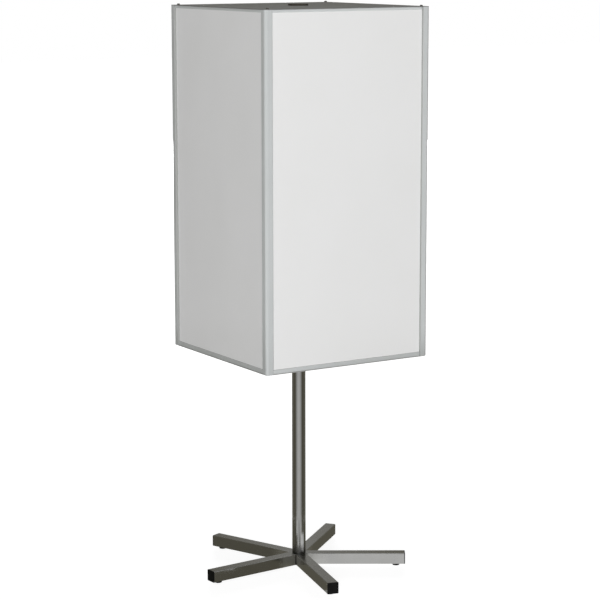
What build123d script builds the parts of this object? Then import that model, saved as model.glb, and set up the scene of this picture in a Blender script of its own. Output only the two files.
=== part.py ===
from build123d import *
import os

# A revolving four-sided sign on a five-arm stand. Sizes are in millimetres and angles in degrees.
# The origin is on the floor on the pole's axis, +Z is up, and the sign's sides face along X and Y.

# Stand: square tube arms in a star, with a plastic cap and a round glide at the end of each
arm_count = 5
first_arm_angle = -31.7
arm_reach = 379
arm_size = 40
arm_wall = 2
arm_round = 2.5
cap_head = 3
cap_head_round = 0.8
cap_plug_length = 16
cap_plug_wall = 2
glide_height = 8
glide_radius = 13
glide_chamfer = 2
glide_from_end = 29
glide_stem_radius = 3.9
glide_stem_length = 12

# Hub in the middle of the star, and the bolt that pulls the pole down on it
hub_core_radius = 17
hub_recess_depth = 16
hub_bolt_radius = 6
hub_bolt_grip = 24
hub_bolt_head_radius = 9
hub_bolt_head_height = 12
hub_bolt_socket_radius = 5.8
hub_bolt_socket_depth = 6
hub_washer_radius = 9.5
hub_washer_thickness = 2

# Pole and the plugs in its two ends
pole_radius = 24.15
pole_wall = 2
pole_showing = 743.5
foot_plug_length = 30
spindle_plug_length = 40
spindle_shoulder = 5
spindle_radius = 10
spindle_point = 3
spindle_tip_chamfer = 1.5

# Sign head: corner posts with grooves, rails between them, and the sign panels in the grooves
side_count = 4
head_width = 650
frame_height = 1207
post_size = 27
post_round = 10
post_lip_round = 1.5
post_inner_round = 1.5
post_wall = 1.8
post_groove_depth = 10
panel_thickness = 3
panel_setback = 8
panel_side_gap = 1
panel_top_gap = 0.3
rail_setback = 6
rail_depth = 17
rail_wall = 1.6
rail_tongue_length = 9
bottom_rail_height = 15
bottom_rail_groove_depth = 8
bottom_rail_round = 1.5
top_rail_height = 9.5
top_rail_groove_depth = 5
top_rail_plate_round = 0.5
top_rail_panel_round = 1.5
top_plate_thickness = 1.5
bottom_plate_thickness = 1.5
bottom_plate_inset = 3
bottom_plate_round = 7

# Screws through the plates into the posts' channels
screw_boss_radius = 6
corner_screw_radius = 2.5
corner_screw_length = 22
top_screw_head_radius = 5.5
top_screw_head_height = 4.5
bottom_screw_head_radius = 5
bottom_screw_head_height = 2.2

# Ball thrust bearing on the spindle's shoulder
race_width = 7.45
race_thickness = 3.3
race_groove_depth = 0.8
ball_radius = 2.5
ball_count = 12
cage_thickness = 2
cage_rim = 0.45

# Housing that hangs the head on the bearing, with the bush and the keeper on the spindle
housing_wall = 5.4
housing_cup_gap = 3
housing_cup_depth = 9
housing_web = 8
housing_skirt = 8
housing_flange_thickness = 6
housing_screw_count = 4
housing_screw_offset = 9.5
housing_screw_margin = 16.5
housing_screw_length = 7
spindle_bush_wall = 2
spindle_bush_flange_width = 3
spindle_bush_flange_thickness = 1.5
keeper_washer_width = 6
keeper_washer_thickness = 2
keeper_play = 0.3
keeper_ring_width = 3
keeper_ring_thickness = 1.2
keeper_groove_depth = 0.7
keeper_ring_opening = 8

# Round cover over the housing's screws, on the top plate
cover_margin = 6.5
cover_height = 6
cover_wall = 1.5
cover_edge_round = 1.5
cover_spigot_length = 4

# Guide bush round the pole, in the bottom plate
guide_bush_wall = 5
guide_bush_length = 22
guide_flange_thickness = 4
guide_screw_count = 4
guide_screw_offset = 6.3
guide_screw_margin = 6.5
guide_nut_across_corners = 8
guide_nut_height = 3.2

# Small screws of the housing and the guide bush
small_screw_radius = 2
small_screw_head_radius = 3.7
small_screw_head_height = 2.4

# Bevels and hexagon sockets of the screws, as shares of the head that they are cut in
head_bevel_share = 0.4
socket_radius_share = 0.5
socket_depth_share = 0.55

# Clearances between pieces, each on the radius or on one side
turning_clearance = 0.05
guide_clearance = 0.08
seat_clearance = 0.1
groove_clearance = 0.2
hole_clearance = 0.6

# Levels and places that follow from these sizes
arm_top = glide_height + arm_size
head_bottom = arm_top + pole_showing
head_top = head_bottom + frame_height
plate_top = head_top + top_plate_thickness
bottom_plate_under = head_bottom - bottom_plate_thickness
half_width = head_width / 2
between_posts = head_width - 2 * post_size
groove_width = panel_thickness + 2 * groove_clearance
bottom_rail_floor = bottom_rail_height - bottom_rail_groove_depth
top_rail_floor = top_rail_height - top_rail_groove_depth
screw_inset = post_size - screw_boss_radius
pole_bore_radius = pole_radius - pole_wall
hub_recess_radius = hub_washer_radius + hole_clearance
hub_recess_top = glide_height + hub_recess_depth
hub_bolt_head_top = hub_recess_top - hub_washer_thickness
race_bore = spindle_radius + turning_clearance
race_radius = race_bore + race_width
race_seat = race_radius + seat_clearance
ball_circle_radius = (race_bore + race_radius) / 2
web_top = head_top - housing_cup_depth
web_bottom = web_top - housing_web
ball_space = ball_radius + turning_clearance
ball_level = web_bottom - race_thickness - (ball_space - race_groove_depth)
bearing_bottom = 2 * ball_level - web_bottom
shoulder_bottom = bearing_bottom - spindle_shoulder
keeper_washer_bottom = web_top + spindle_bush_flange_thickness + keeper_play
keeper_ring_bottom = keeper_washer_bottom + keeper_washer_thickness
keeper_ring_top = keeper_ring_bottom + keeper_ring_thickness
spindle_bush_bore = spindle_radius + turning_clearance
spindle_bush_radius = spindle_bush_bore + spindle_bush_wall
keeper_washer_radius = spindle_radius + keeper_washer_width
housing_cup_radius = keeper_washer_radius + housing_cup_gap
housing_screw_circle_radius = housing_cup_radius + housing_screw_offset
housing_flange_radius = housing_screw_circle_radius + housing_screw_margin
cover_radius = housing_screw_circle_radius + cover_margin
guide_bush_bore = pole_radius + guide_clearance
guide_bush_radius = guide_bush_bore + guide_bush_wall
guide_screw_circle_radius = guide_bush_radius + guide_screw_offset
guide_flange_radius = guide_screw_circle_radius + guide_screw_margin


def disc(radius, low, high):
    return Pos(0, 0, low) * extrude(Circle(radius), high - low)


def ring(outer, inner, low, high):
    return disc(outer, low, high) - disc(inner, low, high)


def turned(*outline):
    # A round piece from half its section, given as points of radius and height
    return revolve(Plane.XZ * make_face(Polyline(*outline, close=True)), Axis.Z)


def around(shape, step, count):
    # One of a set that is spread evenly about the pole's axis
    return Rot(0, 0, 360 / count * step) * shape


def spots(radius, count):
    # Places on a circle, the first of them halfway between the X axis and the next
    return PolarLocations(radius, count, start_angle=180 / count)


def screw(head_radius, head_height, shank_radius, shank_length):
    # A screw with a bevelled head and a hexagon socket, its head standing on the plane through the origin
    head = disc(head_radius, 0, head_height)
    rim = head.edges().sort_by(Axis.Z)[-1]
    head = chamfer(rim, head_height * head_bevel_share)
    depth = head_height * socket_depth_share
    socket = extrude(RegularPolygon(head_radius * socket_radius_share, 6), depth)
    head -= Pos(0, 0, head_height - depth) * socket
    return head + disc(shank_radius, -shank_length, 0)


def arm_frame():
    # The plane of an arm's section: the sketch's X runs across the arm and its Y upwards
    return Plane(origin=(0, 0, glide_height + arm_size / 2), x_dir=(0, 1, 0), z_dir=(1, 0, 0))


def base_arm():
    inside = arm_size - 2 * arm_wall
    section = RectangleRounded(arm_size, arm_size, arm_round)
    section -= RectangleRounded(inside, inside, arm_round - arm_wall)
    tube = extrude(arm_frame() * section, arm_reach)
    # The inner end is mitred to a wedge, so that the arms meet face to face round the hub core
    half_share = 180 / arm_count
    far = Vector(2 * arm_reach, 0)
    corners = [(0, 0), far.rotate(Axis.Z, -half_share), far.rotate(Axis.Z, half_share)]
    tube &= extrude(make_face(Polyline(*corners, close=True)), arm_top)
    tube -= disc(hub_core_radius, 0, arm_top)
    stem_hole = disc(glide_stem_radius + seat_clearance, glide_height, glide_height + arm_wall)
    return tube - Pos(arm_reach - glide_from_end, 0, 0) * stem_hole


def arm_end_cap():
    head = extrude(arm_frame() * RectangleRounded(arm_size, arm_size, arm_round), cap_head)
    head = fillet(head.faces().sort_by(Axis.X)[-1].edges(), cap_head_round)
    plug_size = arm_size - 2 * arm_wall - 2 * seat_clearance
    plug = RectangleRounded(plug_size, plug_size, arm_round - arm_wall)
    hollow_size = plug_size - 2 * cap_plug_wall
    plug -= Rectangle(hollow_size, hollow_size)
    return Pos(arm_reach, 0, 0) * (head + extrude(arm_frame() * plug, -cap_plug_length))


def floor_glide():
    glide = turned(
        (0, 0),
        (glide_radius - glide_chamfer, 0),
        (glide_radius, glide_chamfer),
        (glide_radius, glide_height),
        (glide_stem_radius, glide_height),
        (glide_stem_radius, glide_height + glide_stem_length),
        (0, glide_height + glide_stem_length),
    )
    return Pos(arm_reach - glide_from_end, 0, 0) * glide


def hub_core():
    core = ring(hub_core_radius, hub_bolt_radius + hole_clearance, glide_height, arm_top)
    return core - disc(hub_recess_radius, glide_height, hub_recess_top)


def hub_washer():
    return ring(hub_washer_radius, hub_bolt_radius + hole_clearance, hub_bolt_head_top, hub_recess_top)


def hub_bolt():
    head_bottom_level = hub_bolt_head_top - hub_bolt_head_height
    head = disc(hub_bolt_head_radius, head_bottom_level, hub_bolt_head_top)
    socket = extrude(RegularPolygon(hub_bolt_socket_radius, 6), hub_bolt_socket_depth)
    head -= Pos(0, 0, head_bottom_level) * socket
    return head + disc(hub_bolt_radius, hub_bolt_head_top, arm_top + hub_bolt_grip)


def pole():
    return ring(pole_radius, pole_bore_radius, arm_top, shoulder_bottom)


def pole_foot_plug():
    plug_radius = pole_bore_radius - turning_clearance
    return ring(plug_radius, hub_bolt_radius + turning_clearance, arm_top, arm_top + foot_plug_length)


def pole_spindle():
    # The plug in the pole's top, its shoulder, and the spindle with a groove for the keeper ring
    plug_radius = pole_bore_radius - turning_clearance
    groove_radius = spindle_radius - keeper_groove_depth
    spindle_top = keeper_ring_top + spindle_point
    return turned(
        (0, shoulder_bottom - spindle_plug_length),
        (plug_radius, shoulder_bottom - spindle_plug_length),
        (plug_radius, shoulder_bottom),
        (pole_radius, shoulder_bottom),
        (pole_radius, bearing_bottom),
        (spindle_radius, bearing_bottom),
        (spindle_radius, keeper_ring_bottom),
        (groove_radius, keeper_ring_bottom),
        (groove_radius, keeper_ring_top),
        (spindle_radius, keeper_ring_top),
        (spindle_radius, spindle_top - spindle_tip_chamfer),
        (spindle_radius - spindle_tip_chamfer, spindle_top),
        (0, spindle_top),
    )


def ball_track():
    # The space that the rolling balls sweep out, which grooves both races
    circle = Plane.XZ * Pos(ball_circle_radius, ball_level) * Circle(ball_space)
    return revolve(circle, Axis.Z)


def bearing_lower_race():
    return ring(race_radius, race_bore, bearing_bottom, bearing_bottom + race_thickness) - ball_track()


def bearing_upper_race():
    bore = spindle_radius + hole_clearance
    return ring(race_radius, bore, web_bottom - race_thickness, web_bottom) - ball_track()


def bearing_balls():
    places = PolarLocations(ball_circle_radius, ball_count)
    return Compound(children=[Pos(0, 0, ball_level) * place * Sphere(ball_radius) for place in places])


def ball_cage():
    reach = ball_space + cage_rim
    low = ball_level - cage_thickness / 2
    cage = ring(ball_circle_radius + reach, ball_circle_radius - reach, low, low + cage_thickness)
    pocket = disc(ball_space, low, low + cage_thickness)
    for place in PolarLocations(ball_circle_radius, ball_count):
        cage -= place * pocket
    return cage


def bearing_housing():
    flange_bottom = head_top - housing_flange_thickness
    body_radius = race_seat + housing_wall
    housing = turned(
        (housing_cup_radius, head_top),
        (housing_flange_radius, head_top),
        (housing_flange_radius, flange_bottom),
        (body_radius, flange_bottom),
        (body_radius, web_bottom - housing_skirt),
        (race_seat, web_bottom - housing_skirt),
        (race_seat, web_bottom),
        (spindle_bush_radius, web_bottom),
        (spindle_bush_radius, web_top),
        (housing_cup_radius, web_top),
    )
    screw_hole = disc(small_screw_radius + turning_clearance, flange_bottom, head_top)
    for spot in spots(housing_screw_circle_radius, housing_screw_count):
        housing -= spot * screw_hole
    return housing


def spindle_bush():
    flange_radius = spindle_bush_radius + spindle_bush_flange_width
    sleeve = ring(spindle_bush_radius, spindle_bush_bore, web_bottom, web_top)
    return sleeve + ring(flange_radius, spindle_bush_bore, web_top, web_top + spindle_bush_flange_thickness)


def keeper_washer():
    bore = spindle_radius + seat_clearance
    return ring(keeper_washer_radius, bore, keeper_washer_bottom, keeper_ring_bottom)


def keeper_ring():
    bore = spindle_radius - keeper_groove_depth + turning_clearance
    radius = spindle_radius + keeper_ring_width
    keeper = ring(radius, bore, keeper_ring_bottom, keeper_ring_top)
    opening = Rectangle(radius, keeper_ring_opening, align=(Align.MIN, Align.CENTER))
    return keeper - Pos(0, 0, keeper_ring_bottom) * extrude(opening, keeper_ring_thickness)


def housing_screws():
    shank = small_screw_radius, housing_screw_length
    fixing = screw(small_screw_head_radius, small_screw_head_height, *shank)
    places = spots(housing_screw_circle_radius, housing_screw_count)
    return Compound(children=[Pos(0, 0, plate_top) * place * fixing for place in places])


def bearing_cover():
    # A shallow round lid whose spigot drops through the top plate into the housing's cup
    top = plate_top + cover_height
    lid = disc(cover_radius, plate_top, top)
    lid = fillet(lid.edges().sort_by(Axis.Z)[-1], cover_edge_round)
    lid -= disc(cover_radius - cover_wall, plate_top, top - cover_wall)
    spigot = housing_cup_radius - seat_clearance
    return lid + ring(spigot, spigot - cover_wall, plate_top - cover_spigot_length, top - cover_wall)


def post_section():
    # A hollow corner post, its outer corner at the origin: a panel groove opens in each side that faces a
    # panel, and a screw channel runs up the inner corner
    post = Rectangle(post_size, post_size, align=Align.MIN)
    post = fillet(post.vertices().sort_by_distance((0, 0))[0], post_round)
    post = fillet(post.vertices().sort_by_distance((post_size, 0))[0], post_lip_round)
    post = fillet(post.vertices().sort_by_distance((0, post_size))[0], post_lip_round)
    post = fillet(post.vertices().sort_by_distance((post_size, post_size))[0], post_inner_round)
    hollow_size = post_size - 2 * post_wall
    hollow = Rectangle(hollow_size, hollow_size, align=Align.MIN)
    hollow = fillet(hollow.vertices().sort_by_distance((0, 0))[0], post_round - post_wall)
    hollow = Pos(post_wall, post_wall) * hollow
    groove = Pos(post_size - post_groove_depth, panel_setback) * Rectangle(
        post_groove_depth, groove_width, align=Align.MIN
    )
    groove_walls = Pos(post_size - post_groove_depth - post_wall, panel_setback - post_wall) * Rectangle(
        post_groove_depth + post_wall, groove_width + 2 * post_wall, align=Align.MIN
    )
    diagonal = Plane(origin=(0, 0, 0), z_dir=(1, -1, 0))
    boss = Pos(screw_inset, screw_inset)
    hollow -= groove_walls
    hollow -= mirror(groove_walls, about=diagonal)
    hollow -= boss * Circle(screw_boss_radius)
    post -= hollow
    post -= groove
    post -= mirror(groove, about=diagonal)
    return post - boss * Circle(corner_screw_radius + turning_clearance)


def corner_post():
    corner = Pos(-half_width, -half_width, head_bottom)
    return corner * extrude(post_section(), frame_height)


def rail_section(height, groove_depth, outer_round, panel_round):
    # A rail's section: X runs inwards from the posts' face and Y from the rail's outer edge to the panel
    section = Rectangle(rail_depth, height, align=Align.MIN)
    section = fillet(section.vertices().sort_by_distance((0, 0))[0], outer_round)
    section = fillet(section.vertices().sort_by_distance((0, height))[0], panel_round)
    section = Pos(rail_setback, 0) * section
    groove = Rectangle(groove_width, groove_depth, align=Align.MIN)
    section -= Pos(panel_setback, height - groove_depth) * groove
    chamber_start = panel_setback + groove_width + rail_wall
    chamber_width = rail_setback + rail_depth - rail_wall - chamber_start
    chamber = Rectangle(chamber_width, height - 2 * rail_wall, align=Align.MIN)
    return section - Pos(chamber_start, rail_wall) * chamber


def rail(frame, section, tongue_height):
    # A rail between two posts, with a tongue at each end that slides into the posts' grooves
    body = extrude(frame * section, between_posts)
    tongue = Rectangle(panel_thickness, tongue_height, align=Align.MIN)
    tongue = frame * Pos(panel_setback + groove_clearance, 0, -rail_tongue_length) * tongue
    return body + extrude(tongue, between_posts + 2 * rail_tongue_length)


def bottom_rail():
    start = (-between_posts / 2, -half_width, head_bottom)
    rounds = bottom_rail_round, bottom_rail_round
    section = rail_section(bottom_rail_height, bottom_rail_groove_depth, *rounds)
    return rail(Plane(origin=start, x_dir=(0, 1, 0), z_dir=(1, 0, 0)), section, bottom_rail_floor)


def top_rail():
    start = (between_posts / 2, -half_width, head_top)
    rounds = top_rail_plate_round, top_rail_panel_round
    section = rail_section(top_rail_height, top_rail_groove_depth, *rounds)
    return rail(Plane(origin=start, x_dir=(0, 1, 0), z_dir=(-1, 0, 0)), section, top_rail_floor)


def sign_panel():
    width = between_posts + 2 * (post_groove_depth - panel_side_gap)
    height = frame_height - bottom_rail_floor - top_rail_floor - panel_top_gap
    sheet = Box(width, panel_thickness, height, align=(Align.CENTER, Align.MIN, Align.MIN))
    return Pos(0, -half_width + panel_setback + groove_clearance, head_bottom + bottom_rail_floor) * sheet


def corner_spots():
    pitch = head_width - 2 * screw_inset
    return GridLocations(pitch, pitch, 2, 2)


def top_plate():
    plate = RectangleRounded(head_width, head_width, post_round)
    plate -= Circle(housing_cup_radius)
    for spot in corner_spots():
        plate -= spot * Circle(corner_screw_radius + hole_clearance)
    for spot in spots(housing_screw_circle_radius, housing_screw_count):
        plate -= spot * Circle(small_screw_radius + hole_clearance)
    return Pos(0, 0, head_top) * extrude(plate, top_plate_thickness)


def bottom_plate():
    size = head_width - 2 * bottom_plate_inset
    plate = RectangleRounded(size, size, bottom_plate_round)
    plate -= Circle(guide_bush_radius + seat_clearance)
    for spot in corner_spots():
        plate -= spot * Circle(corner_screw_radius + hole_clearance)
    for spot in spots(guide_screw_circle_radius, guide_screw_count):
        plate -= spot * Circle(small_screw_radius + hole_clearance)
    return Pos(0, 0, bottom_plate_under) * extrude(plate, bottom_plate_thickness)


def top_screws():
    shank = corner_screw_radius, corner_screw_length
    fixing = screw(top_screw_head_radius, top_screw_head_height, *shank)
    return Compound(children=[Pos(0, 0, plate_top) * spot * fixing for spot in corner_spots()])


def bottom_screws():
    shank = corner_screw_radius, corner_screw_length
    fixing = screw(bottom_screw_head_radius, bottom_screw_head_height, *shank)
    upwards = Pos(0, 0, bottom_plate_under) * Rot(180, 0, 0)
    return Compound(children=[upwards * spot * fixing for spot in corner_spots()])


def guide_bush():
    top = bottom_plate_under + guide_bush_length
    flange_bottom = bottom_plate_under - guide_flange_thickness
    bush = ring(guide_bush_radius, guide_bush_bore, flange_bottom, top)
    bush += ring(guide_flange_radius, guide_bush_bore, flange_bottom, bottom_plate_under)
    screw_hole = disc(small_screw_radius + hole_clearance, flange_bottom, bottom_plate_under)
    for spot in spots(guide_screw_circle_radius, guide_screw_count):
        bush -= spot * screw_hole
    return bush


def guide_screws():
    shank = small_screw_radius, guide_flange_thickness + bottom_plate_thickness + guide_nut_height
    fixing = screw(small_screw_head_radius, small_screw_head_height, *shank)
    upwards = Pos(0, 0, bottom_plate_under - guide_flange_thickness) * Rot(180, 0, 0)
    places = spots(guide_screw_circle_radius, guide_screw_count)
    return Compound(children=[upwards * place * fixing for place in places])


def guide_nuts():
    nut = RegularPolygon(guide_nut_across_corners / 2, 6) - Circle(small_screw_radius + turning_clearance)
    nut = extrude(nut, guide_nut_height)
    places = spots(guide_screw_circle_radius, guide_screw_count)
    return Compound(children=[Pos(0, 0, head_bottom) * place * nut for place in places])


def write(name, shape):
    export_step(shape, os.path.join("parts", name + ".step"))


os.makedirs("parts", exist_ok=True)

arm_pieces = {"base_arm": base_arm(), "arm_end_cap": arm_end_cap(), "floor_glide": floor_glide()}
for step in range(arm_count):
    for name, shape in arm_pieces.items():
        write(f"{name}_{step + 1}", Rot(0, 0, first_arm_angle) * around(shape, step, arm_count))

side_pieces = {
    "corner_post": corner_post(),
    "bottom_rail": bottom_rail(),
    "top_rail": top_rail(),
    "sign_panel": sign_panel(),
}
for step in range(side_count):
    for name, shape in side_pieces.items():
        write(f"{name}_{step + 1}", around(shape, step, side_count))

single_pieces = (
    hub_core,
    hub_washer,
    hub_bolt,
    pole,
    pole_foot_plug,
    pole_spindle,
    bearing_lower_race,
    bearing_balls,
    ball_cage,
    bearing_upper_race,
    bearing_housing,
    spindle_bush,
    keeper_washer,
    keeper_ring,
    housing_screws,
    bearing_cover,
    top_plate,
    top_screws,
    bottom_plate,
    bottom_screws,
    guide_bush,
    guide_screws,
    guide_nuts,
)
for piece in single_pieces:
    write(piece.__name__, piece())
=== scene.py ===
import math

import bpy
from mathutils import Matrix, Vector


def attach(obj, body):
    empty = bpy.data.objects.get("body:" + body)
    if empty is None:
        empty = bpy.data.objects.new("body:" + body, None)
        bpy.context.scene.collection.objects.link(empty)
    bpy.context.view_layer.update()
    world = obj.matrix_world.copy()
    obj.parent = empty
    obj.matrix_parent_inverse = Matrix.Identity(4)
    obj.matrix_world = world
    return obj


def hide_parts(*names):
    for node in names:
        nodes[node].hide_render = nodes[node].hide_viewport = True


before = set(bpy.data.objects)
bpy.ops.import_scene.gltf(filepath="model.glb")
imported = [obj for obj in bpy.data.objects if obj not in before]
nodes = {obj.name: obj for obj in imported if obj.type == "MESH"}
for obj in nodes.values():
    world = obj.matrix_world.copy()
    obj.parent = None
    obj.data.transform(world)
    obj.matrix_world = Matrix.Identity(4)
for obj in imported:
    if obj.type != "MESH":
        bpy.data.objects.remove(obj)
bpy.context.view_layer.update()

scene = bpy.context.scene
print("frame loaded:", len(nodes), "nodes")

# The camera stands where the photograph was taken from. Angles in the dictionaries are in degrees.

camera = {
    "place": (-3.7147, -6.0466, 2.2067),
    "turn": 31.604,  # from +Y towards +X
    "down": 9.885,
    "roll": -0.075,
    "lens": 122.4,
    "sensor": 36,
    "sight": 100,  # metres that it sees
}


def makeCamera(look):
    data = bpy.data.cameras.new("camera")
    data.lens = look["lens"]
    data.sensor_width = look["sensor"]
    data.clip_end = look["sight"]
    view = bpy.data.objects.new("camera", data)
    turn = Matrix.Rotation(math.radians(-look["turn"]), 4, "Z")
    tilt = Matrix.Rotation(math.radians(90 - look["down"]), 4, "X")
    roll = Matrix.Rotation(math.radians(look["roll"]), 4, "Z")
    view.matrix_world = Matrix.Translation(look["place"]) @ turn @ tilt @ roll
    scene.collection.objects.link(view)
    scene.camera = view


makeCamera(camera)
scene.view_settings.view_transform = "Standard"
print("camera made")


def linear(hexColour):
    # an sRGB hex colour as the linear colour that the shaders take
    channels = [int(hexColour[i:i + 2], 16) / 255 for i in (1, 3, 5)]
    toned = [c / 12.92 if c <= 0.04045 else ((c + 0.055) / 1.055) ** 2.4 for c in channels]
    return (*toned, 1)


def metres(*sizes):
    return [size / 1000 for size in sizes]


def addNode(tree, kind, inputs, **settings):
    # adds a node: its settings, then its sockets, each given a value or the socket that feeds it
    node = tree.nodes.new(kind)
    for name, value in settings.items():
        setattr(node, name, value)
    for name, value in inputs.items():
        if isinstance(value, bpy.types.NodeSocket):
            tree.links.new(value, node.inputs[name])
        else:
            node.inputs[name].default_value = value
    return node


def newMaterial(name):
    # an empty node material, and the object coordinates that its patterns lie in
    material = bpy.data.materials.new(name)
    material.use_nodes = True
    material.node_tree.nodes.clear()
    place = addNode(material.node_tree, "ShaderNodeTexCoord", {}).outputs["Object"]
    return material, material.node_tree, place


def setSurface(material, inputs):
    tree = material.node_tree
    shader = addNode(tree, "ShaderNodeBsdfPrincipled", inputs)
    addNode(tree, "ShaderNodeOutputMaterial", {"Surface": shader.outputs[0]})
    return material


# Pattern sizes are in millimetres of the real surface

aluminiumLook = {
    "colour": "#C9CCCC",
    "dullColour": "#BCBFBF",
    "metallic": 0.5,
    "lineWidth": 2.2,  # the die's lines are about 0.4 mm apart, drawn coarser so that they show
    "lineLength": 600,
    "lineDepth": 0.02,
    "patch": 90,  # where hands have dulled the sheen
    "patchRange": (0.35, 0.7),  # part of the noise over which the roughness rises
    "roughness": (0.43, 0.54),
    # painted shade: the greyer colour of the panels' recess sides and of upward ledges
    "dirtAndShadeColour": "#ABADAB",
    "recess": 299,  # what lies nearer the middle of the head than this is inside the panels' recess
    "recessEdge": 0.4,
    "ledge": (0.3, 0.8),  # how much a face looks up where the painted shade begins, and where it covers the face
}
# painted light: the rails are paler than the posts of the same aluminium, and the painted shade on their
# ledges is darker
litRailLook = aluminiumLook | {
    "colour": "#D1D4D4",
    "dullColour": "#C7CACA",
    "dirtAndShadeColour": "#9C9E9C",
    "recess": 0,
}


def anodisedAluminium(name, look, size):
    # anodised aluminium extrusion: an even satin sheen, with faint lines from the die along its length;
    # painted shade greys its upward ledges and the sides of the panels' recess
    material, tree, place = newMaterial(name)
    drawn = addNode(tree, "ShaderNodeMapping", {
        "Vector": place, "Scale": metres(*size)}, vector_type="TEXTURE").outputs[0]
    lines = addNode(tree, "ShaderNodeTexNoise", {"Vector": drawn, "Scale": 1, "Detail": 3}).outputs[0]
    patches = addNode(tree, "ShaderNodeTexNoise", {
        "Vector": place, "Scale": 1000 / look["patch"], "Detail": 4}).outputs[0]
    tone = addNode(tree, "ShaderNodeMix", {
        0: lines, 6: linear(look["colour"]), 7: linear(look["dullColour"])
    }, data_type="RGBA").outputs[2]
    split = addNode(tree, "ShaderNodeSeparateXYZ", {0: place}).outputs
    sideways = addNode(tree, "ShaderNodeMath", {0: split["X"]}, operation="ABSOLUTE").outputs[0]
    onwards = addNode(tree, "ShaderNodeMath", {0: split["Y"]}, operation="ABSOLUTE").outputs[0]
    inward = addNode(tree, "ShaderNodeMath", {0: sideways, 1: onwards}, operation="MINIMUM").outputs[0]
    side = addNode(tree, "ShaderNodeMapRange", {
        "Value": inward, "From Min": look["recess"] / 1000,
        "From Max": (look["recess"] - look["recessEdge"]) / 1000}).outputs[0]
    normal = addNode(tree, "ShaderNodeNewGeometry", {}).outputs["Normal"]
    upward = addNode(tree, "ShaderNodeSeparateXYZ", {0: normal}).outputs["Z"]
    start, end = look["ledge"]
    ledge = addNode(tree, "ShaderNodeMapRange", {
        "Value": upward, "From Min": start, "From Max": end}).outputs[0]
    # painted shade on the sides of the panels' recess and on upward ledges
    dirtAndShade = addNode(tree, "ShaderNodeMath", {0: side, 1: ledge}, operation="MAXIMUM").outputs[0]
    tone = addNode(tree, "ShaderNodeMix", {
        0: dirtAndShade, 6: tone, 7: linear(look["dirtAndShadeColour"])}, data_type="RGBA").outputs[2]
    start, end = look["patchRange"]
    low, high = look["roughness"]
    rough = addNode(tree, "ShaderNodeMapRange", {
        "Value": patches, "From Min": start, "From Max": end, "To Min": low, "To Max": high}).outputs[0]
    bump = addNode(tree, "ShaderNodeBump", {
        "Height": lines, "Strength": 0.5, "Distance": look["lineDepth"] / 1000}).outputs[0]
    return setSurface(material, {
        "Base Color": tone, "Metallic": look["metallic"], "Roughness": rough, "Normal": bump})


boardLook = {
    "colour": "#E8E8E8",
    "agedColour": "#E4E4E3",
    "cloud": 260,
    "peel": 2.5,  # orange peel of the sprayed coat
    "peelDepth": 0.01,
    "wipe": (70, 70, 420),  # upright marks of a cleaning cloth
    "wipeRange": (0.3, 0.7),
    "roughness": (0.34, 0.46),
}


def coatedBoard(name, look):
    # white polyester coat on a flat board: matt white with a slight sheen, faintly uneven from wiping
    material, tree, place = newMaterial(name)
    cloud = addNode(tree, "ShaderNodeTexNoise", {
        "Vector": place, "Scale": 1000 / look["cloud"], "Detail": 3}).outputs[0]
    tone = addNode(tree, "ShaderNodeMix", {
        0: cloud, 6: linear(look["colour"]), 7: linear(look["agedColour"])}, data_type="RGBA").outputs[2]
    wiped = addNode(tree, "ShaderNodeMapping", {
        "Vector": place, "Scale": metres(*look["wipe"])}, vector_type="TEXTURE").outputs[0]
    marks = addNode(tree, "ShaderNodeTexNoise", {"Vector": wiped, "Scale": 1, "Detail": 5}).outputs[0]
    start, end = look["wipeRange"]
    low, high = look["roughness"]
    rough = addNode(tree, "ShaderNodeMapRange", {
        "Value": marks, "From Min": start, "From Max": end, "To Min": low, "To Max": high}).outputs[0]
    peel = addNode(tree, "ShaderNodeTexNoise", {
        "Vector": place, "Scale": 1000 / look["peel"]}).outputs[0]
    bump = addNode(tree, "ShaderNodeBump", {
        "Height": peel, "Strength": 0.35, "Distance": look["peelDepth"] / 1000}).outputs[0]
    return setSurface(material, {"Base Color": tone, "Roughness": rough, "Normal": bump})


shadedSheetLook = {
    # painted shade: the top plate is darker for the shade on its upward face
    "colour": "#6E6E6C",
    "stainColour": "#646462",
    "metallic": 0.4,
    "rolled": (500, 2.4, 2.4),  # lines of the rolling mill, along X
    "rolledDepth": 0.015,
    "spangle": 14,  # the crystals of the zinc
    "spangleTone": 0.10,
    "stain": 55,
    "roughness": (0.38, 0.5),
}
litUnderSheetLook = shadedSheetLook | {"colour": "#B0B0AE", "stainColour": "#A5A5A2"}  # painted light: paler for the light on the bottom plate's front edge


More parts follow.
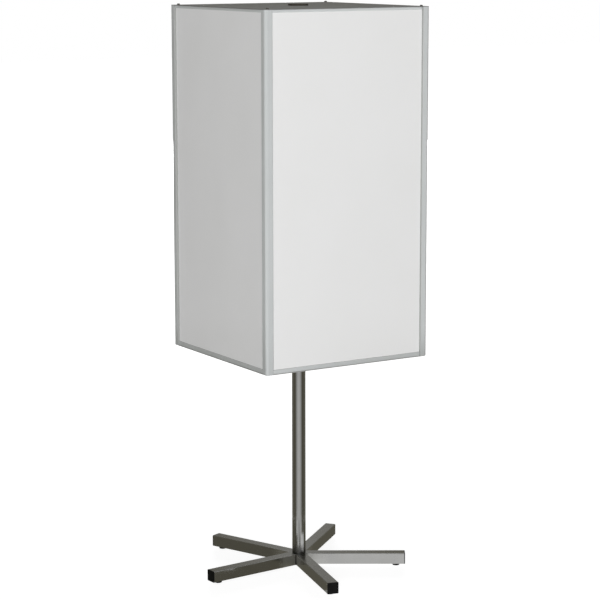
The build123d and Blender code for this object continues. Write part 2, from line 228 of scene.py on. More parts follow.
def rolledSheet(name, look):
    # galvanised steel sheet: dull grey with the zinc's crystals, cloudy patches and faint rolling lines
    material, tree, place = newMaterial(name)
    rolled = addNode(tree, "ShaderNodeMapping", {
        "Vector": place, "Scale": metres(*look["rolled"])}, vector_type="TEXTURE").outputs[0]
    lines = addNode(tree, "ShaderNodeTexNoise", {"Vector": rolled, "Scale": 1, "Detail": 2}).outputs[0]
    stain = addNode(tree, "ShaderNodeTexNoise", {
        "Vector": place, "Scale": 1000 / look["stain"], "Detail": 5, "Distortion": 0.6}).outputs[0]
    tone = addNode(tree, "ShaderNodeMix", {
        0: stain, 6: linear(look["colour"]), 7: linear(look["stainColour"])}, data_type="RGBA").outputs[2]
    crystals = addNode(tree, "ShaderNodeTexVoronoi", {
        "Vector": place, "Scale": 1000 / look["spangle"]}).outputs["Color"]
    crystal = addNode(tree, "ShaderNodeSeparateColor", {0: crystals}).outputs[0]
    low, high = 1 - look["spangleTone"], 1 + look["spangleTone"]
    shade = addNode(tree, "ShaderNodeMapRange", {
        "Value": crystal, "To Min": low, "To Max": high}).outputs[0]
    tone = addNode(tree, "ShaderNodeMix", {
        0: 1.0, 6: tone, 7: shade}, data_type="RGBA", blend_type="MULTIPLY").outputs[2]
    low, high = look["roughness"]
    rough = addNode(tree, "ShaderNodeMapRange", {
        "Value": crystal, "To Min": low, "To Max": high}).outputs[0]
    bump = addNode(tree, "ShaderNodeBump", {
        "Height": lines, "Strength": 0.5, "Distance": look["rolledDepth"] / 1000}).outputs[0]
    return setSurface(material, {
        "Base Color": tone, "Metallic": look["metallic"], "Roughness": rough, "Normal": bump})


chromeLook = {
    "colour": "#AEAEAD",
    "hazeColour": "#A2A2A0",
    "polished": (300, 1.8, 1.8),  # polishing lines along the tube, finer in reality
    "polishedDepth": 0.004,
    "haze": 45,
    "hazeRange": (0.3, 0.7),
    "roughness": (0.09, 0.17),
    "dustColour": "#8B8B88",
    "dustCover": 0.25,  # how much of an upward face the dust covers
    "dustFacing": (0.7, 1),  # how much a face looks up where dust begins, and where most lies
    "dustRoughness": 0.5,
    "grain": 12,
    "grainRange": (0.3, 0.7),
    "grainShare": (0.7, 1.3),  # how unevenly dust and the painted shade at the pole's foot lie
    # painted shade at the pole's foot, where it meets the hub
    "footShadeColour": "#23211D",
    "footShadeCover": 0.85,
    "footShadeHeight": (86, 50),  # where the pole's foot begins to darken with painted shade, and where it is darkest
    # painted light: the arms' sides paler near the pole
    "paintedLightColour": "#C2C2BF",
    "paintedLightCover": 0.74,
    "paintedLightReach": (112, 74),  # from the pole's axis, where an arm's painted light begins, and where it is palest
    "paintedLightFacing": (0.6, 0.3),  # only the sides get the painted light: how much a face may look up
    "markedRoughness": 0.35,  # what the pole foot's painted shade and the arms' painted light add to the roughness
}


def chromePlate(name, look, along, turn):
    # chrome plated steel tube: a dark mirror with a little haze, and dust on what faces up;
    # the upright one has near-black painted shade at its foot, and the others have painted light,
    # dull and pale, on their sides by the weld; the weld beads have the upright one's look
    material, tree, place = newMaterial(name)
    size = look["polished"] if along == "X" else look["polished"][::-1]
    polished = addNode(tree, "ShaderNodeMapping", {
        "Vector": place, "Rotation": (0, 0, turn), "Scale": metres(*size)
    }, vector_type="TEXTURE").outputs[0]
    lines = addNode(tree, "ShaderNodeTexNoise", {"Vector": polished, "Scale": 1, "Detail": 2}).outputs[0]
    haze = addNode(tree, "ShaderNodeTexNoise", {
        "Vector": place, "Scale": 1000 / look["haze"], "Detail": 4}).outputs[0]
    bright = addNode(tree, "ShaderNodeMix", {
        0: haze, 6: linear(look["colour"]), 7: linear(look["hazeColour"])}, data_type="RGBA").outputs[2]
    start, end = look["hazeRange"]
    low, high = look["roughness"]
    polish = addNode(tree, "ShaderNodeMapRange", {
        "Value": haze, "From Min": start, "From Max": end, "To Min": low, "To Max": high}).outputs[0]
    grains = addNode(tree, "ShaderNodeTexNoise", {
        "Vector": place, "Scale": 1000 / look["grain"], "Detail": 6, "Roughness": 0.7}).outputs[0]
    start, end = look["grainRange"]
    low, high = look["grainShare"]
    grains = addNode(tree, "ShaderNodeMapRange", {
        "Value": grains, "From Min": start, "From Max": end, "To Min": low, "To Max": high}).outputs[0]
    normal = addNode(tree, "ShaderNodeNewGeometry", {}).outputs["Normal"]
    facing = addNode(tree, "ShaderNodeSeparateXYZ", {0: normal}).outputs["Z"]
    start, end = look["dustFacing"]
    upward = addNode(tree, "ShaderNodeMapRange", {
        "Value": facing, "From Min": start, "From Max": end, "To Max": look["dustCover"]}).outputs[0]
    dust = addNode(tree, "ShaderNodeMath", {0: upward, 1: grains}, operation="MULTIPLY").outputs[0]
    tone = addNode(tree, "ShaderNodeMix", {
        0: dust, 6: bright, 7: linear(look["dustColour"])}, data_type="RGBA").outputs[2]
    rough = addNode(tree, "ShaderNodeMath", {
        0: dust, 1: look["dustRoughness"], 2: polish}, operation="MULTIPLY_ADD").outputs[0]
    if along == "Z":
        start, end = metres(*look["footShadeHeight"])
        height = addNode(tree, "ShaderNodeSeparateXYZ", {0: place}).outputs["Z"]
        # painted shade: the pole darkens towards its foot
        foot = addNode(tree, "ShaderNodeMapRange", {
            "Value": height, "From Min": start, "From Max": end, "To Max": look["footShadeCover"]}).outputs[0]
        marked = addNode(tree, "ShaderNodeMath", {0: foot, 1: grains}, operation="MULTIPLY").outputs[0]
        markedColour = look["footShadeColour"]
    else:
        # painted light: the arms' sides turn pale and dull near the pole
        start, end = metres(*look["paintedLightReach"])
        level = addNode(tree, "ShaderNodeVectorMath", {
            0: place, 1: (1, 1, 0)}, operation="MULTIPLY").outputs[0]
        reach = addNode(tree, "ShaderNodeVectorMath", {0: level}, operation="LENGTH").outputs["Value"]
        near = addNode(tree, "ShaderNodeMapRange", {
            "Value": reach, "From Min": start, "From Max": end, "To Max": look["paintedLightCover"]}).outputs[0]
        start, end = look["paintedLightFacing"]
        sideways = addNode(tree, "ShaderNodeMapRange", {
            "Value": facing, "From Min": start, "From Max": end}).outputs[0]
        marked = addNode(tree, "ShaderNodeMath", {0: near, 1: sideways}, operation="MULTIPLY").outputs[0]
        markedColour = look["paintedLightColour"]
    tone = addNode(tree, "ShaderNodeMix", {
        0: marked, 6: tone, 7: linear(markedColour)}, data_type="RGBA").outputs[2]
    rough = addNode(tree, "ShaderNodeMath", {
        0: marked, 1: look["markedRoughness"], 2: rough}, operation="MULTIPLY_ADD").outputs[0]
    bump = addNode(tree, "ShaderNodeBump", {
        "Height": lines, "Strength": 0.4, "Distance": look["polishedDepth"] / 1000}).outputs[0]
    return setSurface(material, {
        "Base Color": tone, "Metallic": 1.0, "Roughness": rough, "Normal": bump})


plasticLook = {
    "colour": "#0D0D0C",
    "wornColour": "#161615",
    "grain": 1.6,  # spark eroded mould grain, about 0.3 mm in reality
    "grainDepth": 0.03,
    "wear": 18,
    "wearRange": (0.45, 0.75),
    "roughness": (0.5, 0.62),
    "shine": 0.1,
}


def mouldedPlastic(name, look):
    # black injection moulded polyethylene: nearly black and dull, with the mould's fine grain
    # and paler rubbed patches
    material, tree, place = newMaterial(name)
    grain = addNode(tree, "ShaderNodeTexNoise", {
        "Vector": place, "Scale": 1000 / look["grain"], "Detail": 2}).outputs[0]
    wear = addNode(tree, "ShaderNodeTexNoise", {
        "Vector": place, "Scale": 1000 / look["wear"], "Detail": 5}).outputs[0]
    start, end = look["wearRange"]
    worn = addNode(tree, "ShaderNodeMapRange", {
        "Value": wear, "From Min": start, "From Max": end}).outputs[0]
    tone = addNode(tree, "ShaderNodeMix", {
        0: worn, 6: linear(look["colour"]), 7: linear(look["wornColour"])}, data_type="RGBA").outputs[2]
    low, high = look["roughness"]
    rough = addNode(tree, "ShaderNodeMapRange", {
        "Value": wear, "To Min": low, "To Max": high}).outputs[0]
    bump = addNode(tree, "ShaderNodeBump", {
        "Height": grain, "Strength": 0.5, "Distance": look["grainDepth"] / 1000}).outputs[0]
    return setSurface(material, {
        "Base Color": tone, "Roughness": rough, "Specular IOR Level": look["shine"], "Normal": bump})


blackLook = {
    "colour": "#302D27",
    "rubbedColour": "#4E493E",
    "metallic": 0.5,
    "patch": 9,
    "rubbedRange": (0.4, 0.75),
    "brushed": 0.7,
    "brushedDepth": 0.01,
    "roughness": (0.38, 0.52),
}
screwLook = blackLook | {"colour": "#4C4944", "rubbedColour": "#66625B"}  # rubbed by the key and faded


def blackenedSteel(name, look):
    # oil blackened steel: warm near-black with browner rubbed patches and a soft gloss
    material, tree, place = newMaterial(name)
    patch = addNode(tree, "ShaderNodeTexNoise", {
        "Vector": place, "Scale": 1000 / look["patch"], "Detail": 6, "Roughness": 0.6}).outputs[0]
    start, end = look["rubbedRange"]
    rubbed = addNode(tree, "ShaderNodeMapRange", {
        "Value": patch, "From Min": start, "From Max": end}).outputs[0]
    tone = addNode(tree, "ShaderNodeMix", {
        0: rubbed, 6: linear(look["colour"]), 7: linear(look["rubbedColour"])
    }, data_type="RGBA").outputs[2]
    low, high = look["roughness"]
    rough = addNode(tree, "ShaderNodeMapRange", {
        "Value": patch, "To Min": high, "To Max": low}).outputs[0]
    brushed = addNode(tree, "ShaderNodeTexNoise", {
        "Vector": place, "Scale": 1000 / look["brushed"]}).outputs[0]
    bump = addNode(tree, "ShaderNodeBump", {
        "Height": brushed, "Strength": 0.2, "Distance": look["brushedDepth"] / 1000}).outputs[0]
    return setSurface(material, {
        "Base Color": tone, "Metallic": look["metallic"], "Roughness": rough, "Normal": bump})


turnedSteelLook = {
    "colour": "#8F8E8A",
    "toolColour": "#7C7A75",
    "pitch": 0.8,  # distance between the lathe's feed lines
    "depth": 0.01,
    "roughness": (0.24, 0.38),
}
bearingSteelLook = {
    "colour": "#A4A4A3",
    "toolColour": "#989796",
    "pitch": 0.3,
    "depth": 0.001,
    "roughness": (0.08, 0.16),
}
brassLook = {
    "colour": "#B9954E",
    "toolColour": "#A5813D",
    "pitch": 0.6,
    "depth": 0.006,
    "roughness": (0.2, 0.32),
}


def lathedMetal(name, look):
    # turned metal: fine rings round the pole's axis that spread the gloss across them
    material, tree, place = newMaterial(name)
    split = addNode(tree, "ShaderNodeSeparateXYZ", {0: place}).outputs
    flat = addNode(tree, "ShaderNodeCombineXYZ", {"X": split["X"], "Y": split["Y"]}).outputs[0]
    radius = addNode(tree, "ShaderNodeVectorMath", {0: flat}, operation="LENGTH").outputs["Value"]
    across = addNode(tree, "ShaderNodeMath", {0: radius, 1: split["Z"]}, operation="ADD").outputs[0]
    rings = addNode(tree, "ShaderNodeTexNoise", {
        "W": across, "Scale": 1000 / look["pitch"], "Detail": 2}, noise_dimensions="1D").outputs[0]
    tone = addNode(tree, "ShaderNodeMix", {
        0: rings, 6: linear(look["colour"]), 7: linear(look["toolColour"])}, data_type="RGBA").outputs[2]
    low, high = look["roughness"]
    rough = addNode(tree, "ShaderNodeMapRange", {
        "Value": rings, "To Min": low, "To Max": high}).outputs[0]
    bump = addNode(tree, "ShaderNodeBump", {
        "Height": rings, "Strength": 0.4, "Distance": look["depth"] / 1000}).outputs[0]
    return setSurface(material, {"Base Color": tone, "Metallic": 1.0, "Roughness": rough, "Normal": bump})


zincLook = {
    "colour": "#A6A9AC",
    "tintColour": "#A9A391",
    "patch": 4,
    "patchDepth": 0.02,
    "tintRange": (0.4, 0.8),
    "roughness": (0.25, 0.4),
}


def zincPlate(name, look):
    # bright zinc plate: bluish silver that shifts to yellow in patches
    material, tree, place = newMaterial(name)
    patch = addNode(tree, "ShaderNodeTexNoise", {
        "Vector": place, "Scale": 1000 / look["patch"], "Detail": 3}).outputs[0]
    start, end = look["tintRange"]
    tint = addNode(tree, "ShaderNodeMapRange", {
        "Value": patch, "From Min": start, "From Max": end}).outputs[0]
    tone = addNode(tree, "ShaderNodeMix", {
        0: tint, 6: linear(look["colour"]), 7: linear(look["tintColour"])}, data_type="RGBA").outputs[2]
    low, high = look["roughness"]
    rough = addNode(tree, "ShaderNodeMapRange", {
        "Value": patch, "To Min": low, "To Max": high}).outputs[0]
    bump = addNode(tree, "ShaderNodeBump", {
        "Height": patch, "Strength": 0.2, "Distance": look["patchDepth"] / 1000}).outputs[0]
    return setSurface(material, {"Base Color": tone, "Metallic": 1.0, "Roughness": rough, "Normal": bump})


nylonLook = {
    "colour": "#CFCBBD",
    "dirtAndShadeColour": "#BBB5A4",
    "dirtAndShade": 14,
    "toolLine": 1.2,
    "toolDepth": 0.02,
    "roughness": (0.4, 0.55),
    "glow": 0.15,  # share of the light that goes in and comes out again
    "glowDepth": 3,
}


def naturalNylon(name, look):
    # natural nylon: waxy off-white that lets a little light in, with tool lines and grey soil
    material, tree, place = newMaterial(name)
    dirtAndShade = addNode(tree, "ShaderNodeTexNoise", {
        "Vector": place, "Scale": 1000 / look["dirtAndShade"], "Detail": 5}).outputs[0]
    tone = addNode(tree, "ShaderNodeMix", {
        0: dirtAndShade, 6: linear(look["colour"]), 7: linear(look["dirtAndShadeColour"])}, data_type="RGBA").outputs[2]
    low, high = look["roughness"]
    rough = addNode(tree, "ShaderNodeMapRange", {
        "Value": dirtAndShade, "To Min": low, "To Max": high}).outputs[0]
    level = addNode(tree, "ShaderNodeSeparateXYZ", {0: place}).outputs["Z"]
    lines = addNode(tree, "ShaderNodeTexNoise", {
        "W": level, "Scale": 1000 / look["toolLine"]}, noise_dimensions="1D").outputs[0]
    bump = addNode(tree, "ShaderNodeBump", {
        "Height": lines, "Strength": 0.2, "Distance": look["toolDepth"] / 1000}).outputs[0]
    return setSurface(material, {
        "Base Color": tone, "Roughness": rough, "Subsurface Weight": look["glow"],
        "Subsurface Scale": look["glowDepth"] / 1000, "Normal": bump})


# Sizes of pieces are in millimetres too

star = {
    "arms": 5,
    "firstAngle": -31.7,  # from +X
}
armStep = 360 / star["arms"]
armAngles = [math.radians(star["firstAngle"] + armStep * count) for count in range(star["arms"])]

fine, long = aluminiumLook["lineWidth"], aluminiumLook["lineLength"]
aluminiumUp = anodisedAluminium("anodisedAluminiumPost", aluminiumLook, (fine, fine, long))
aluminiumX = anodisedAluminium("anodisedAluminiumRailX", litRailLook, (long, fine, fine))
aluminiumY = anodisedAluminium("anodisedAluminiumRailY", litRailLook, (fine, long, fine))
board = coatedBoard("whiteCoatedBoard", boardLook)
shadedSheet = rolledSheet("paintedShadeGalvanisedSheet", shadedSheetLook)
litUnderSheet = rolledSheet("paintedLitGalvanisedSheet", litUnderSheetLook)
chromePole = chromePlate("chromePlatedPole", chromeLook, "Z", 0)
chromeArms = [
    chromePlate(f"chromePlatedArm{count}", chromeLook, "X", angle)
    for count, angle in enumerate(armAngles, start=1)]
blackPlastic = mouldedPlastic("blackPolyethylene", plasticLook)
blackSteel = blackenedSteel("blackenedSteel", blackLook)
screwSteel = blackenedSteel("blackenedSteelScrew", screwLook)
turnedSteel = lathedMetal("turnedSteel", turnedSteelLook)
bearingSteel = lathedMetal("groundBearingSteel", bearingSteelLook)
brass = lathedMetal("turnedBrass", brassLook)
zinc = zincPlate("brightZincPlate", zincLook)
nylon = naturalNylon("naturalNylon", nylonLook)

finishOf = {
    "anodised_aluminium": aluminiumUp,
    "white_coated_board": board,
    "steel_sheet": shadedSheet,
    "chromed_steel_tube": chromePole,
    "black_moulded_plastic": blackPlastic,
    "blackened_steel": blackSteel,
    "turned_steel": turnedSteel,
    "zinc_plated_steel": zinc,
    "bearing_steel": bearingSteel,
    "turned_brass": brass,
    "natural_nylon": nylon,
}
for name, node in nodes.items():
    finish = finishOf[node.data.materials[0].name]
    if "_rail_" in name:
        finish = aluminiumX if name[-1] in "13" else aluminiumY  # rails 1 and 3 run along X
    if name == "bottom_plate":
        finish = litUnderSheet
    if name.startswith("base_arm_"):
        finish = chromeArms[int(name[-1]) - 1]
    node.data.materials[0] = finish
print("finishes made:", len(bpy.data.materials), "materials")


def select(piece, mode, wanted):
    # in edit mode, selects the faces or edges of the piece that wanted() accepts, and nothing else
    bpy.ops.object.mode_set(mode="EDIT")
    bpy.ops.mesh.select_mode(type=mode)
    bpy.ops.mesh.select_all(action="DESELECT")
    bpy.ops.object.mode_set(mode="OBJECT")
    for part in (piece.data.polygons if mode == "FACE" else piece.data.edges):
        part.select = wanted(part)
    bpy.ops.object.mode_set(mode="EDIT")


meshFinish = {
    "mergeGap": 0.001,  # corners nearer together than this become one
    "smoothAngle": 35,
}


def finishMesh(piece):
    bpy.ops.object.mode_set(mode="EDIT")
    bpy.ops.mesh.select_all(action="SELECT")
    bpy.ops.mesh.remove_doubles(threshold=meshFinish["mergeGap"] / 1000)
    bpy.ops.mesh.normals_make_consistent(inside=False)
    bpy.ops.object.mode_set(mode="OBJECT")
    bpy.ops.object.shade_smooth_by_angle(angle=math.radians(meshFinish["smoothAngle"]))


hexagon = 6  # corners of a screw's socket


def drawRings(name, sides, rings, cornered=0):
    # a round piece drawn ring by ring from its first face; each ring is a radius and a level in mm,
    # and the first few of them may be a hexagon
    bpy.ops.object.select_all(action="DESELECT")
    bpy.ops.mesh.primitive_circle_add(
        vertices=hexagon if cornered else sides, radius=rings[0][0] / 1000, fill_type="NGON")
    piece = bpy.context.object
    piece.name = name
    bpy.ops.object.mode_set(mode="EDIT")
    bpy.ops.mesh.select_all(action="SELECT")
    if cornered:
        bpy.ops.mesh.subdivide(number_cuts=sides // hexagon - 1)
    bpy.ops.transform.translate(value=(0, 0, rings[0][1] / 1000))
    bpy.ops.mesh.select_mode(type="FACE")
    for count, (last, ring) in enumerate(zip(rings, rings[1:]), start=1):
        bpy.ops.mesh.extrude_region_move(
            TRANSFORM_OT_translate={"value": (0, 0, (ring[1] - last[1]) / 1000)})
        if cornered and count == cornered:
            bpy.ops.transform.tosphere(value=1)
        share = ring[0] / last[0]
        bpy.ops.transform.resize(value=(share, share, 1), center_override=(0, 0, ring[1] / 1000))
    finishMesh(piece)
    return piece


def placeCopies(piece, places, names, body, finish, replaced):
    # puts a copy of the piece, with its own mesh, at each place
    for name, place, node in zip(names, places, replaced):
        copy = piece.copy()
        copy.data = piece.data.copy()
        copy.name = name
        copy.data.name = name
        copy.data.transform(place)
        copy.data.materials.clear()
        copy.data.materials.append(finish)
        scene.collection.objects.link(copy)
        if node:
            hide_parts(node)
        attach(copy, body)
    bpy.data.objects.remove(piece)


armTurns = [Matrix.Rotation(angle, 4, "Z") for angle in armAngles]

endCap = {
    "size": 40,  # of the square arm
    "from": 379,  # the arm's end, from the pole's axis
    "middle": 28,  # height of the arm's middle
    "thickness": 3,
    "cornerRound": 2.5,
    "cornerSteps": 6,
    "edgeRound": 0.8,
    "edgeSteps": 4,
    "rim": 4,
    "fieldDepth": 0.4,  # the face is sunk a little inside its rim
    "plugInset": 2.1,
    "plugLength": 16,
    "plugWall": 2,
}
almost = 0.999  # share of a length or of a direction that counts as the whole


def drawFace(cap, shift, share):
    # extrudes the selected face along the arm, in mm, and makes it smaller about the arm's middle
    bpy.ops.mesh.extrude_region_move(TRANSFORM_OT_translate={"value": (shift / 1000, 0, 0)})
    bpy.ops.transform.resize(value=(1, share, share), center_override=(0, 0, cap["middle"] / 1000))


def makeEndCap(cap):
    # a cap for the arm along X: a plate with rounded corners and front edge, its field pressed in,
    # and a hollow plug drawn out behind
    bpy.ops.object.select_all(action="DESELECT")
    middle = cap["from"] + cap["thickness"] / 2
    bpy.ops.mesh.primitive_cube_add(
        size=1, location=metres(middle, 0, cap["middle"]),
        scale=metres(cap["thickness"], cap["size"], cap["size"]))
    piece = bpy.context.object
    bpy.ops.object.transform_apply(location=True, rotation=True, scale=True)
    points = piece.data.vertices
    end = (cap["from"] + cap["thickness"]) / 1000

    def runsAlong(edge):
        first, last = (points[i].co for i in edge.vertices)
        return abs(first.x - last.x) > almost * cap["thickness"] / 1000

    def isInFront(edge):
        return all(points[i].co.x > almost * end for i in edge.vertices)

    select(piece, "EDGE", runsAlong)
    bpy.ops.mesh.bevel(offset=cap["cornerRound"] / 1000, segments=cap["cornerSteps"], affect="EDGES")
    bpy.ops.object.mode_set(mode="OBJECT")
    points = piece.data.vertices
    select(piece, "EDGE", isInFront)
    bpy.ops.mesh.bevel(offset=cap["edgeRound"] / 1000, segments=cap["edgeSteps"], affect="EDGES")
    outside = cap["size"] - 2 * cap["edgeRound"]
    field = outside - 2 * cap["rim"]
    plug = cap["size"] - 2 * cap["plugInset"]
    hollow = plug - 2 * cap["plugWall"]
    select(piece, "FACE", lambda face: face.normal.x > almost)
    drawFace(cap, 0, field / outside)
    drawFace(cap, -cap["fieldDepth"], 1 - cap["fieldDepth"] / field)
    select(piece, "FACE", lambda face: face.normal.x < -almost)
    drawFace(cap, 0, plug / cap["size"])
    drawFace(cap, -cap["plugLength"], 1)
    drawFace(cap, 0, hollow / plug)
    drawFace(cap, cap["plugLength"], 1)
    finishMesh(piece)
    return piece


armNumbers = range(1, star["arms"] + 1)
placeCopies(
    makeEndCap(endCap), armTurns, [f"endCap{i}" for i in armNumbers], "stand", blackPlastic,
    [f"arm_end_cap_{i}" for i in armNumbers])
print("end caps made")

glide = {
    "from": 350,  # from the pole's axis
    "sides": 48,
    "rings": (  # radii and levels, from the floor up
        (10.4, 0), (11.8, 0.3), (12.7, 1.2), (13, 2.4), (13, 6.6), (12.8, 7.2), (12.3, 7.4), (12.3, 8),
        (3.9, 8), (3.9, 19), (3.2, 20),
    ),
}
outwards = Matrix.Translation(metres(glide["from"], 0, 0))
placeCopies(
    drawRings("glide", glide["sides"], glide["rings"]), [turn @ outwards for turn in armTurns],
    [f"glide{i}" for i in armNumbers], "stand", blackPlastic,
    [f"floor_glide_{i}" for i in armNumbers])
print("glides made")

weld = {
    "from": 34.6,  # the corner between two arms, from the pole's axis
    "bottom": 8.6,
    "top": 47.4,
    "ripple": 1.5,
    "crest": 2.6,
    "trough": 2.4,
    "end": 1.2,
    "sides": 16,
}


def weldRings(bead):
    # an upright bead: ripples between its two ends
    count = round((bead["top"] - bead["bottom"]) / bead["ripple"])
    step = (bead["top"] - bead["bottom"]) / count
    rings = [(bead["end"], bead["bottom"])]
    for i in range(1, 2 * count):
        rings.append((bead["crest"] if i % 2 else bead["trough"], bead["bottom"] + step / 2 * i))
    return rings + [(bead["end"], bead["top"])]


weldTurns = [Matrix.Rotation(angle + math.pi / star["arms"], 4, "Z") for angle in armAngles]
outwards = Matrix.Translation(metres(weld["from"], 0, 0))
placeCopies(
    drawRings("weld", weld["sides"], weldRings(weld)), [turn @ outwards for turn in weldTurns],
    [f"weldBead{i}" for i in armNumbers], "stand", chromePole,
    [None] * star["arms"])
print("weld beads made")

# Rings of a domed head, as shares of its radius and height

dome = ((0.66, 1.0), (0.78, 0.94), (0.88, 0.82), (0.95, 0.64), (0.99, 0.42), (1.0, 0.2), (1.0, 0.0))
topScrew = {
    "sides": 36,
    "headRadius": 5.5,
    "headHeight": 4.5,
    "socket": 2.9,
    "socketDepth": 2.4,
    "socketRings": 2,
    "socketLip": 0.2,  # how far the hexagon ends below the dome
    "shank": 2.5,
    "length": 22,
    "point": (0.7, 1),  # how much narrower the shank's end is, and over what length
}
bottomScrew = topScrew | {"headRadius": 5, "headHeight": 2.2, "socket": 2.5, "socketDepth": 1.2}
cornerScrews = {
    "half": 325,  # half the head's width
    "inset": 21,
    "top": 2000,
    "bottom": 790,
}


def makeScrew(name, size):
    # a screw with a domed head and a hexagon socket, its head standing on the plane through the origin
    top, shank = size["headHeight"], size["shank"]
    narrower, pointed = size["point"]
    rings = [(size["socket"], top - size["socketDepth"]), (size["socket"], top - size["socketLip"])]
    rings += [(size["headRadius"] * share, top * level) for share, level in dome]
    rings += [(shank, 0), (shank, pointed - size["length"]), (shank - narrower, -size["length"])]
    return drawRings(name, size["sides"], rings, cornered=size["socketRings"])


spread = cornerScrews["half"] - cornerScrews["inset"]
corners = [(spread, spread), (-spread, spread), (-spread, -spread), (spread, -spread)]
tops = [Matrix.Translation(metres(x, y, cornerScrews["top"])) for x, y in corners]
flipped = Matrix.Rotation(math.pi, 4, "X")
undersides = [Matrix.Translation(metres(x, y, cornerScrews["bottom"])) @ flipped for x, y in corners]
screwNumbers = range(1, len(corners) + 1)
placeCopies(
    makeScrew("screw", topScrew), tops, [f"topScrew{i}" for i in screwNumbers], "head", screwSteel,
    ["top_screws" for i in screwNumbers])
placeCopies(
    makeScrew("screw", bottomScrew), undersides, [f"bottomScrew{i}" for i in screwNumbers], "head", zinc,
    ["bottom_screws" for i in screwNumbers])
print("screws made")

# The studio, in metres: white all round, a broad soft lamp beside the camera and a weaker one behind

studio = {
    "world": 0.14,  # how much the white surroundings light the object
    "floorSize": 60,
    "floorColour": "#A3A3A3",
    "floorLift": (0.86, 1.0),  # white that the floor adds to what lights it, near the object and far off
    "floorReach": (0.6, 2.8),
}
keyLamp = {
    "turn": 33.4,
    "up": 9.5,
    "distance": 16,
    "aim": 1,  # height of the point that it lights
    "size": 6,
    "power": 2330,
}
backLamp = keyLamp | {"turn": 211.6, "up": 8, "power": 2150}


def seenRays(tree):
    # 1 for the rays of the camera, of reflections and of clear pieces,
    # and 0 for those that light the object
    rays = addNode(tree, "ShaderNodeLightPath", {}).outputs
    seen = addNode(tree, "ShaderNodeMath", {
        0: rays["Is Camera Ray"], 1: rays["Is Glossy Ray"]}, operation="MAXIMUM").outputs[0]
    return addNode(tree, "ShaderNodeMath", {
        0: seen, 1: rays["Is Transmission Ray"]}, operation="MAXIMUM").outputs[0]


def makeWorld(look):
    world = bpy.data.worlds.new("studio")
    world.use_nodes = True
    scene.world = world
    tree = world.node_tree
    tree.nodes.clear()
    level = addNode(tree, "ShaderNodeMapRange", {
        "Value": seenRays(tree), "To Min": look["world"], "To Max": 1}).outputs[0]
    light = addNode(tree, "ShaderNodeBackground", {
        "Color": (1, 1, 1, 1), "Strength": level}).outputs[0]
    addNode(tree, "ShaderNodeOutputWorld", {"Surface": light})


def makeFloor(look):
    bpy.ops.object.select_all(action="DESELECT")
    bpy.ops.mesh.primitive_plane_add(size=look["floorSize"])
    floor = bpy.context.object
    floor.name = "floor"
    material, tree, place = newMaterial("paleFloor")
    away = addNode(tree, "ShaderNodeVectorMath", {0: place}, operation="LENGTH").outputs["Value"]
    near, far = look["floorReach"]
    low, high = look["floorLift"]
    lift = addNode(tree, "ShaderNodeMapRange", {
        "Value": away, "From Min": near, "From Max": far, "To Min": low, "To Max": high},
        interpolation_type="SMOOTHSTEP").outputs[0]
    lift = addNode(tree, "ShaderNodeMath", {0: lift, 1: seenRays(tree)}, operation="MULTIPLY").outputs[0]
    glow = addNode(tree, "ShaderNodeEmission", {"Strength": lift}).outputs[0]
    lit = addNode(tree, "ShaderNodeBsdfDiffuse", {"Color": linear(look["floorColour"])}).outputs[0]
    both = addNode(tree, "ShaderNodeAddShader", {0: lit, 1: glow}).outputs[0]
    addNode(tree, "ShaderNodeOutputMaterial", {"Surface": both})
    floor.data.materials.append(material)


def makeLamp(name, lamp):
    data = bpy.data.lights.new(name, "AREA")
    data.shape = "SQUARE"
    data.size = lamp["size"]
    data.energy = lamp["power"]
    light = bpy.data.objects.new(name, data)
    turn, up = math.radians(lamp["turn"]), math.radians(lamp["up"])
    away = Vector((-math.sin(turn) * math.cos(up), -math.cos(turn) * math.cos(up), math.sin(up)))
    light.location = Vector((0, 0, lamp["aim"])) + away * lamp["distance"]
    light.rotation_euler = away.to_track_quat("Z", "Y").to_euler()
    light.visible_glossy = False  # reflections show the surroundings and the cards, and not the lamp
    scene.collection.objects.link(light)


# Grey cards that only reflections see, as in a studio for bright metal: they give it its dark sides.
# The two cards stand round the object and the mats lie on the floor, all in metres. Tones are given by
# degrees from the front, the same on both sides, and 1 is white. A mat is open between two bearings,
# counted from the front towards the right.

onFloor = (0.003, 0.003)
darkGrey = {0: 0.15, 180: 0.15}
paleGrey = {0: 0.64, 180: 0.64}
cards = {
    "lowCard": {
        "radii": (0.62, 0.62),
        "levels": (0.005, 0.775),
        "tones": {0: 0.86, 25: 0.70, 42: 0.38, 60: 0.125, 90: 0.153, 104: 0.2, 140: 0.2, 180: 0.36},
    },
    "farCard": {
        "radii": (3.2, 3.2),
        "levels": (0.02, 3.6),
        "tones": {0: 1.0, 86: 1.0, 106: 0.235, 120: 0.17, 145: 0.163, 180: 0.163},
    },
    "hubMat": {
        "radii": (0.26, 0.01),
        "levels": onFloor,
        "tones": darkGrey,
        "open": (18, 90),  # up to the arm on the right, whose side shows the white floor
    },
    "backMat": {
        "radii": (0.42, 0.26),
        "levels": onFloor,
        "tones": darkGrey,
        "open": (-25, 90),
    },
    "armMat": {
        "radii": (0.42, 0.26),
        "levels": onFloor,
        "tones": darkGrey,
        "open": (18, 363),
    },
    "outerMat": {
        "radii": (0.62, 0.42),
        "levels": onFloor,
        "tones": darkGrey,
        "open": (-42, 42),
    },
    "frontMat": {
        "radii": (0.62, 0.32),
        "levels": onFloor,
        "tones": paleGrey,
        "open": (30, 335),
    },
}
cardSides = 180
cardTint = {
    "colour": (0.09, -0.03, -0.52),  # the darker a tone, the warmer it is
    "fall": 5,  # how fast the tint goes as a tone gets paler
}
cameraTurn = math.radians(camera["turn"])
front = math.atan2(-math.cos(cameraTurn), -math.sin(cameraTurn))  # towards the camera, from +X


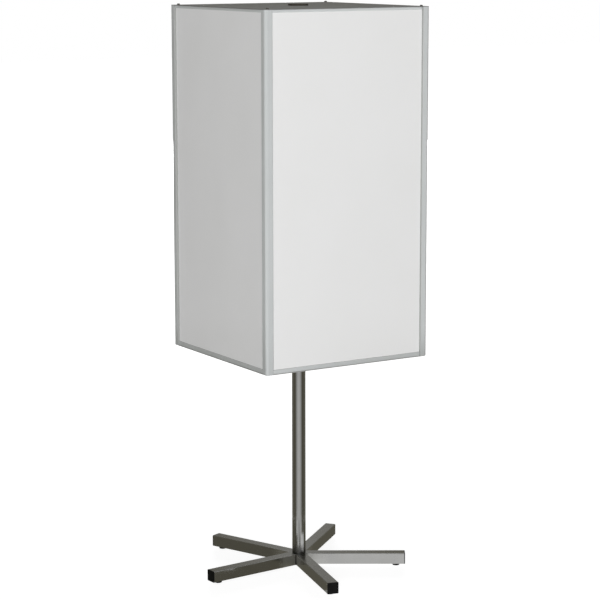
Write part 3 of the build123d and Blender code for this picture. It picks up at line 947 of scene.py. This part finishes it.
def cardMaterial(name, card):
    material, tree, place = newMaterial(name)
    turned = addNode(tree, "ShaderNodeMapping", {
        "Vector": place, "Rotation": (0, 0, front)}, vector_type="TEXTURE").outputs[0]
    # the gradient runs from 0 to 1 once round, with 0.5 in front; share is 0 in front and 1 behind
    share = addNode(tree, "ShaderNodeTexGradient", {
        "Vector": turned}, gradient_type="RADIAL").outputs["Fac"]
    share = addNode(tree, "ShaderNodeMath", {0: share, 1: 0.5}, operation="SUBTRACT").outputs[0]
    share = addNode(tree, "ShaderNodeMath", {0: share}, operation="ABSOLUTE").outputs[0]
    share = addNode(tree, "ShaderNodeMath", {0: share, 1: 2.0}, operation="MULTIPLY").outputs[0]
    ramp = addNode(tree, "ShaderNodeValToRGB", {"Fac": share})
    stops = ramp.color_ramp.elements
    while len(stops) < len(card["tones"]):
        stops.new(1)
    for stop, (bearing, tone) in zip(stops, card["tones"].items()):
        darkness = (1 - tone) ** cardTint["fall"]
        stop.position = bearing / 180
        stop.color = [tone * (1 + tint * darkness) for tint in cardTint["colour"]] + [1]
    glow = addNode(tree, "ShaderNodeEmission", {
        "Color": ramp.outputs["Color"], "Strength": 1.0}).outputs[0]
    addNode(tree, "ShaderNodeOutputMaterial", {"Surface": glow})
    return material


def makeCard(name, card):
    # a ring of faces between two circles: a wall, or a mat where both are at one level
    bpy.ops.object.select_all(action="DESELECT")
    outer, inner = card["radii"]
    low, high = card["levels"]
    bpy.ops.mesh.primitive_circle_add(
        vertices=cardSides, radius=outer, fill_type="NOTHING", location=(0, 0, low))
    piece = bpy.context.object
    piece.name = name
    bpy.ops.object.transform_apply(location=True, rotation=True, scale=True)
    bpy.ops.object.mode_set(mode="EDIT")
    bpy.ops.mesh.select_mode(type="EDGE")
    bpy.ops.mesh.select_all(action="SELECT")
    bpy.ops.mesh.extrude_edges_move(TRANSFORM_OT_translate={"value": (0, 0, high - low)})
    bpy.ops.transform.resize(value=(inner / outer, inner / outer, 1), center_override=(0, 0, high))
    if "open" in card:
        first, last = card["open"]

        def inOpening(face):
            bearing = math.degrees(math.atan2(face.center.y, face.center.x) - front)
            return (bearing - first) % 360 < last - first

        select(piece, "FACE", inOpening)
        bpy.ops.mesh.delete(type="FACE")
    bpy.ops.object.mode_set(mode="OBJECT")
    piece.data.materials.append(cardMaterial(name, card))
    piece.visible_camera = False
    piece.visible_diffuse = False
    piece.visible_shadow = False
    piece.visible_transmission = False


makeWorld(studio)
makeFloor(studio)
makeLamp("keyLamp", keyLamp)
makeLamp("backLamp", backLamp)
for name, card in cards.items():
    makeCard(name, card)
print("studio made")
